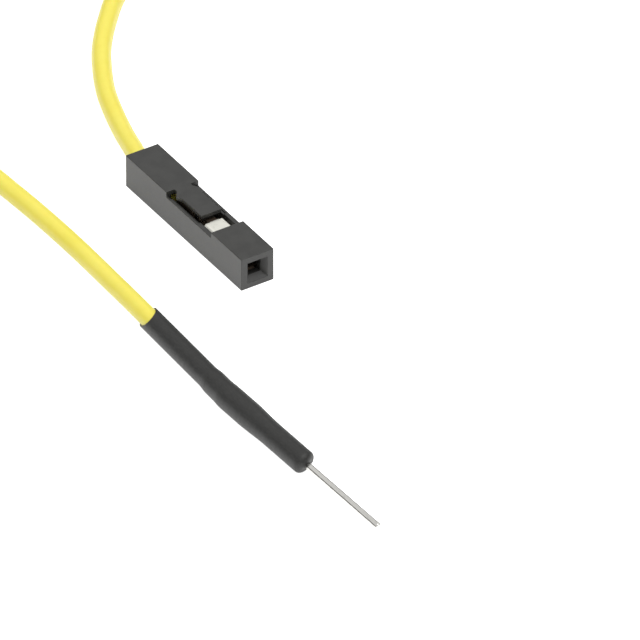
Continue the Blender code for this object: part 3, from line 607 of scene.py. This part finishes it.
class JUMPER_OT_housing(bpy.types.Operator):
    """Black nylon crimp housing with its cavity, funnel mouth and latch tongue"""

    bl_idname = "jumper.housing"
    bl_label = "Crimp housing"

    def execute(self, context):
        settings = context.scene.jumper_housing
        end, half, height = (settings.length / MM / 2, settings.width / MM / 2,
                             settings.height / MM)
        beyond = 2 * half
        piece = block("crimp_housing", (-end, -half, 0.0), (end, half, height))
        carve(piece, flared_block(
            "cavity", (CAVITY_END, -CAVITY_HALF, CAVITY_FLOOR),
            (-end + REAR_CHAMFER, CAVITY_HALF, CAVITY_TOP), REAR_CHAMFER, REAR_CHAMFER))
        carve(piece, flared_block(
            "pin hole", (CAVITY_END - 0.9, -HOLE_HALF, AXIS_HEIGHT - HOLE_HALF),
            (end - MOUTH_DEPTH, HOLE_HALF, AXIS_HEIGHT + HOLE_HALF),
            MOUTH_HALF - HOLE_HALF, MOUTH_DEPTH))
        side = [(LATCH_ROOT, LATCH_NECK), (NOTCH_END, LATCH_NECK),
                (SHOULDER_START, LATCH_SHOULDER), (SHOULDER_END, LATCH_HALF),
                (LATCH_TIP, LATCH_HALF)]
        around = [(LATCH_ROOT, beyond)] + side + [(x, -y) for x, y in reversed(side)]
        around += [(LATCH_ROOT, -beyond), (WINDOW_FRONT, -beyond), (WINDOW_FRONT, beyond)]
        carve(piece, prism("latch surround", around, LEDGE, height + beyond))
        carve(piece, block(
            "latch slit",
            (NOTCH_END - LATCH_SLIT, -LATCH_SHOULDER - LATCH_SLIT, LEDGE - LATCH_SLIT),
            (LATCH_TIP + LATCH_SLIT, LATCH_SHOULDER + LATCH_SLIT, LEDGE + LATCH_SLIT)))
        for low, high in ((NOTCH_SIDE - half, -LATCH_NECK), (LATCH_NECK, half - NOTCH_SIDE)):
            carve(piece, block("latch notch", (LATCH_ROOT, low, LEDGE - NOTCH_DEPTH),
                               (NOTCH_END, high, height + beyond)))
        top = LEDGE + 2.5 * LATCH_SLIT
        catch = [(NUB_FRONT, top), (NUB_FRONT, CAVITY_TOP - NUB_DEPTH),
                 (NUB_FRONT - NUB_FLAT, CAVITY_TOP - NUB_DEPTH),
                 (NUB_FRONT - NUB_LENGTH, LEDGE + LATCH_SLIT), (NUB_FRONT - NUB_LENGTH, top)]
        carve(piece, prism("latch nub", catch, -NUB_HALF, NUB_HALF, upright=True), "UNION")
        self.round_edges(piece, end, half, height)
        to_metres(piece)
        finish_piece(piece, nylon_material(settings.colour), "black_nylon", "housing")
        return {"FINISHED"}

    def round_edges(self, piece, end, half, height):
        """Bevel weights by place, then one bevel over all of the sharp edges."""
        take(piece)
        edit()
        bpy.ops.mesh.remove_doubles(threshold=0.0005)
        bpy.ops.mesh.dissolve_limited(angle_limit=math.radians(0.5))
        bpy.ops.mesh.select_mode(type="EDGE")
        bpy.ops.mesh.select_all(action="DESELECT")
        bpy.ops.mesh.edges_select_sharp(sharpness=math.radians(30))
        bpy.ops.transform.edge_bevelweight(value=INNER_ROUND / OUTER_ROUND)
        done()

        def outer(a, b):
            on_side = abs(abs(a.y) - half) < 0.001 and abs(a.y - b.y) < 0.001
            on_end = abs(abs(a.x) - end) < 0.001 and abs(a.x - b.x) < 0.001
            on_base = max(a.z, b.z) < 0.001
            on_top = min(a.z, b.z) > height - 0.001
            on_ledge = max(abs(a.z - LEDGE), abs(b.z - LEDGE)) < 0.001
            return on_side + on_end + on_base + on_top + on_ledge >= 2

        pick_edges(piece, outer)
        bpy.ops.transform.edge_bevelweight(value=1.0)
        done()
        bevel = piece.modifiers.new("rounding", "BEVEL")
        bevel.limit_method = "WEIGHT"
        bevel.width = OUTER_ROUND
        bevel.segments = 3
        bevel.use_clamp_overlap = False
        bpy.ops.object.modifier_apply(modifier="rounding")
        smooth(piece)
        weighted = piece.modifiers.new("weighted normals", "WEIGHTED_NORMAL")
        weighted.keep_sharp = True
        bpy.ops.object.modifier_apply(modifier="weighted normals")


class JUMPER_OT_terminal(bpy.types.Operator):
    """Finish of the stamped and folded socket terminal, and of the strands crimped into it"""

    bl_idname = "jumper.terminal"
    bl_label = "Socket terminal"

    def execute(self, context):
        settings = context.scene.jumper_terminal
        # The terminal gets painted shade in dark bronze at its front leaves and at its neck and
        # crimp.
        tin = plated_material("tin_plated_bronze", settings.colour, (0.5, 3.0, 3.0),
                              settings.dullness, unshaded=UNSHADED_STRETCH)
        dress(tin, "socket_terminal")
        copper = plated_material("tinned_copper", TINNED_COPPER, (0.4, 5.0, 5.0), 0.20)
        dress(copper, *(f"strand_{k}_socket_end" for k in range(1, 8)))
        dress(copper, *(f"strand_{k}_pin_end" for k in range(1, 8)))
        return {"FINISHED"}


class JUMPER_OT_wire(bpy.types.Operator):
    """Insulated wire, laid in one open loop from the housing round to the sleeve"""

    bl_idname = "jumper.wire"
    bl_label = "Insulated wire"

    def execute(self, context):
        settings = context.scene.jumper_wire
        points = smooth_route(self.route(), WIRE_STEP)
        bpy.ops.object.select_all(action="DESELECT")
        bpy.ops.curve.primitive_bezier_curve_add()
        piece = bpy.context.object
        curve = piece.data
        curve.splines.clear()
        line = curve.splines.new("POLY")
        line.points.add(len(points) - 1)
        for point, place in zip(line.points, points):
            point.co = (*place, 1.0)
        curve.dimensions = "3D"
        curve.bevel_depth = settings.diameter / 2
        curve.bevel_resolution = 8
        curve.use_fill_caps = True
        bpy.ops.object.convert(target="MESH")
        piece = named("insulated_wire")
        edit()
        bpy.ops.mesh.remove_doubles(threshold=1e-7)
        bpy.ops.mesh.normals_make_consistent(inside=False)
        done()
        smooth(piece, 40)
        finish_piece(piece, insulation_material(settings.colour), "yellow_pvc", "wire")
        return {"FINISHED"}

    def route(self):
        """The crimp, the way out of the housing, the loop and the way into the sleeve, in m."""
        line = WIRE_START + [WIRE_EXIT] + [(x, y, LYING + height) for x, y, height in ROUTE]
        line = [Vector(point) * MM for point in line]
        entry = SLEEVE_REAR - 2 * SLEEVE_SLANT
        turned = Matrix.Rotation(PIN_END_HEADING, 4, "Z")
        for k in range(5):
            along = entry + (-BARE_CORE - entry) * k / 4
            place = Vector((along, *sag(along))) * MM
            line.append(Vector(PIN_END_PLACE) + turned @ place)
        return line


class JUMPER_OT_pin(bpy.types.Operator):
    """Turned pin contact with its solder cup, and the solder on the strands"""

    bl_idname = "jumper.pin"
    bl_label = "Pin contact"

    def execute(self, context):
        settings = context.scene.jumper_pin
        radius = settings.diameter / MM / 2
        shank_start = CUP_LENGTH + CUP_TAPER
        profile = [(PIN_TIP, 0.0)]
        for k in range(5):
            angle = math.pi / 2 * k / 4
            profile.append((PIN_TIP - PIN_CHAMFER * (1 - math.cos(angle)),
                            radius - PIN_CHAMFER * (1 - math.sin(angle))))
        profile += [
            (SHANK_END + 0.02, radius), (SHANK_END, radius + 0.02),
            (SHANK_END, SHANK_RADIUS - PIN_CHAMFER), (SHANK_END - PIN_CHAMFER, SHANK_RADIUS),
            (shank_start, SHANK_RADIUS), (CUP_LENGTH, CUP_RADIUS), (PIN_CHAMFER, CUP_RADIUS),
            (0.0, CUP_RADIUS - PIN_CHAMFER), (0.0, CUP_BORE), (CUP_DEPTH, CUP_BORE),
            (CUP_DEPTH + CUP_BORE / 2, 0.0)]
        piece = lathe("pin_contact_turned", profile, 48, closed=False)
        to_metres(piece, PIN_END_PLACE, PIN_END_HEADING)
        smooth(piece)
        plating = plated_material("nickel_plated_brass", settings.colour, (0.35, 6.0, 6.0), 0.08,
                                  PIN_END_HEADING)
        finish_piece(piece, plating, "plated_brass", "pin_contact")
        dress(solder_material(), "solder_joint")
        return {"FINISHED"}


class JUMPER_OT_sleeve(bpy.types.Operator):
    """Heat-shrink sleeve, drawn down over the joint and closed round the pin"""

    bl_idname = "jumper.sleeve"
    bl_label = "Heat-shrink sleeve"

    def execute(self, context):
        settings = context.scene.jumper_sleeve
        wall = settings.wall / MM
        inner = self.inner_line()
        outer = [(along, radius + wall) for along, radius in inner]
        lip = self.lip(OVER_SHANK, SLEEVE_LIP)
        lip_outer = self.lip(OVER_SHANK + wall, SLEEVE_LIP + wall)
        profile = list(reversed(outer + lip_outer)) + inner + lip
        piece = lathe("heat_shrink", profile, 56, closed=True)
        for vert in piece.data.vertices:
            self.settle(vert)
        to_metres(piece, PIN_END_PLACE, PIN_END_HEADING)
        smooth(piece, 50)
        finish_piece(piece, shrink_material(settings.colour), "shrink_tube", "heat_shrink_sleeve")
        return {"FINISHED"}

    def inner_line(self):
        """Inside of the sleeve: over the wire, up the solder, over the cup, down to the shank."""
        line = []
        for k in range(SLEEVE_STATIONS + 1):
            along = SLEEVE_REAR + (SHANK_END - SLEEVE_REAR) * k / SLEEVE_STATIONS
            if along < 0:
                share = (RISE_SHARE * eased(1 + (along + SOLDER_RISE) / RISE_LENGTH)
                         + (1 - RISE_SHARE) * eased(1 + along / RISE_LENGTH))
                radius = OVER_WIRE + (OVER_CUP - OVER_WIRE) * share
            else:
                share = eased((along - CUP_LENGTH) / CUP_TAPER)
                radius = OVER_CUP + (OVER_SHANK - OVER_CUP) * share
            line.append((along, radius))
        return line

    def lip(self, start, reach):
        """Quarter round from the end of the shank in to the pin."""
        mouth = bpy.context.scene.jumper_pin.diameter / MM / 2 + SLEEVE_MOUTH
        points = []
        for k in range(1, 9):
            angle = math.pi / 2 * k / 8
            points.append((SHANK_END + reach * math.sin(angle),
                           mouth + (start - mouth) * math.cos(angle)))
        return points

    def settle(self, vert):
        """The slanting cuts at the rear and at the lip, and the bend behind the cup."""
        facing = (vert.co.y * math.cos(SLEEVE_SLANT_TURN)
                  + vert.co.z * math.sin(SLEEVE_SLANT_TURN)) / math.hypot(vert.co.y, vert.co.z)
        near_end = max(0.0, 1 - (vert.co.x - SLEEVE_REAR) / SLEEVE_SLANT_REACH)
        vert.co.x += SLEEVE_SLANT * facing * near_end ** 2
        near_lip = eased((vert.co.x - SHANK_END + LIP_SLANT_REACH) / LIP_SLANT_REACH)
        vert.co.x += LIP_SLANT * facing * near_lip
        sideways, upward = sag(vert.co.x)
        vert.co.y += sideways
        vert.co.z += upward


class JUMPER_OT_stage(bpy.types.Operator):
    """White floor, soft light and the camera at the picture's angle"""

    bl_idname = "jumper.stage"
    bl_label = "Floor, light and camera"

    def execute(self, context):
        settings = context.scene.jumper_stage
        self.floor(settings)
        self.world(context.scene)
        self.lamp("softbox", LAMP_PLACE, LAMP_SIZE, LAMP_POWER)
        self.camera(context.scene, settings)
        return {"FINISHED"}

    def floor(self, settings):
        bpy.ops.object.select_all(action="DESELECT")
        bpy.ops.mesh.primitive_plane_add(size=FLOOR_SIZE, location=(0.0, 0.0, -FLOOR_DROP))
        floor = named("floor")
        material, look, shader = new_material("pale_floor", Roughness=0.9)
        look.put(shader.inputs["Base Color"], settings.floor_colour)
        glow = look.node("ShaderNodeEmission", None,
                         {"Color": (1.0, 1.0, 1.0), "Strength": FLOOR_GLOW})
        lit = look.node("ShaderNodeAddShader", None,
                        {0: Value(look, shader.outputs["BSDF"]), 1: glow})
        rays = [look.node("ShaderNodeLightPath", output=name)
                for name in ("Is Camera Ray", "Is Glossy Ray", "Is Transmission Ray")]
        seen = look.clamped(rays[0] + rays[1] + rays[2])
        mixed = look.node("ShaderNodeMixShader", None,
                          {0: seen, 1: Value(look, shader.outputs["BSDF"]), 2: lit})
        output = material.node_tree.nodes["Material Output"]
        look.put(output.inputs["Surface"], mixed)
        floor.data.materials.append(material)

    def world(self, scene):
        """A dim room round the table and a white ceiling, by the height of the view's direction."""
        world = bpy.data.worlds.new("studio")
        world.use_nodes = True
        scene.world = world
        look = Look(world.node_tree)
        where = look.node("ShaderNodeTexCoord", output="Generated")
        height = look.node("ShaderNodeSeparateXYZ", None, {0: where}, output=2)
        level = look.node("ShaderNodeValToRGB", {"stops": SKY}, {0: height})
        background = world.node_tree.nodes["Background"]
        look.put(background.inputs["Color"], level)
        background.inputs["Strength"].default_value = 1.0

    def lamp(self, name, place, size, power):
        bpy.ops.object.select_all(action="DESELECT")
        bpy.ops.object.light_add(type="AREA", location=place)
        lamp = bpy.context.object
        lamp.name = lamp.data.name = name
        lamp.data.shape = "DISK"
        lamp.data.size = size
        lamp.data.energy = power
        lamp.rotation_euler = (-Vector(place)).to_track_quat("-Z", "Y").to_euler()

    def camera(self, scene, settings):
        az, el = settings.azimuth, settings.elevation
        right = Vector((math.cos(az), math.sin(az), 0.0))
        back = Vector((math.sin(az) * math.cos(el), -math.cos(az) * math.cos(el), math.sin(el)))
        up = back.cross(right)
        scale = settings.pixels_per_mm / MM
        target = (right * (PICTURE / 2 - ORIGIN_PIXEL[0])
                  - up * (PICTURE / 2 - ORIGIN_PIXEL[1])) / scale
        distance = PICTURE * settings.lens / (SENSOR * scale)
        bpy.ops.object.select_all(action="DESELECT")
        bpy.ops.object.camera_add()
        camera = bpy.context.object
        camera.name = camera.data.name = "picture camera"
        camera.data.lens = settings.lens
        camera.data.sensor_width = SENSOR
        camera.data.clip_start, camera.data.clip_end = 0.1, 100.0
        turned = Matrix((right, up, back)).transposed()
        camera.matrix_world = Matrix.Translation(target + back * distance) @ turned.to_4x4()
        scene.camera = camera


class JUMPER_PT_panel(bpy.types.Panel):
    """Lists the pieces of the jumper wire"""

    bl_idname = "JUMPER_PT_panel"
    bl_label = "Jumper wire"
    bl_space_type = "VIEW_3D"
    bl_region_type = "UI"
    bl_category = "Jumper wire"

    def draw(self, context):
        for operator, settings in PIECES:
            box = self.layout.box()
            box.operator(operator.bl_idname)
            group = getattr(context.scene, settings)
            for name in type(group).__annotations__:
                box.prop(group, name)


GROUPS = {
    "jumper_stage": StageSettings,
    "jumper_wire": WireSettings,
    "jumper_housing": HousingSettings,
    "jumper_terminal": TerminalSettings,
    "jumper_pin": PinSettings,
    "jumper_sleeve": SleeveSettings,
}
PIECES = [
    (JUMPER_OT_stage, "jumper_stage"),
    (JUMPER_OT_wire, "jumper_wire"),
    (JUMPER_OT_housing, "jumper_housing"),
    (JUMPER_OT_terminal, "jumper_terminal"),
    (JUMPER_OT_pin, "jumper_pin"),
    (JUMPER_OT_sleeve, "jumper_sleeve"),
]
CLASSES = [*GROUPS.values(), *(operator for operator, _ in PIECES), JUMPER_PT_panel]


def register():
    for made in CLASSES:
        bpy.utils.register_class(made)
    for name, group in GROUPS.items():
        setattr(bpy.types.Scene, name, bpy.props.PointerProperty(type=group))


def unregister():
    for name in GROUPS:
        delattr(bpy.types.Scene, name)
    for made in reversed(CLASSES):
        bpy.utils.unregister_class(made)


def main():
    register()
    bpy.context.scene.view_settings.view_transform = "Standard"
    for operator, _ in PIECES:
        group, name = operator.bl_idname.split(".")
        getattr(getattr(bpy.ops, group), name)()


if __name__ == "__main__":
    main()
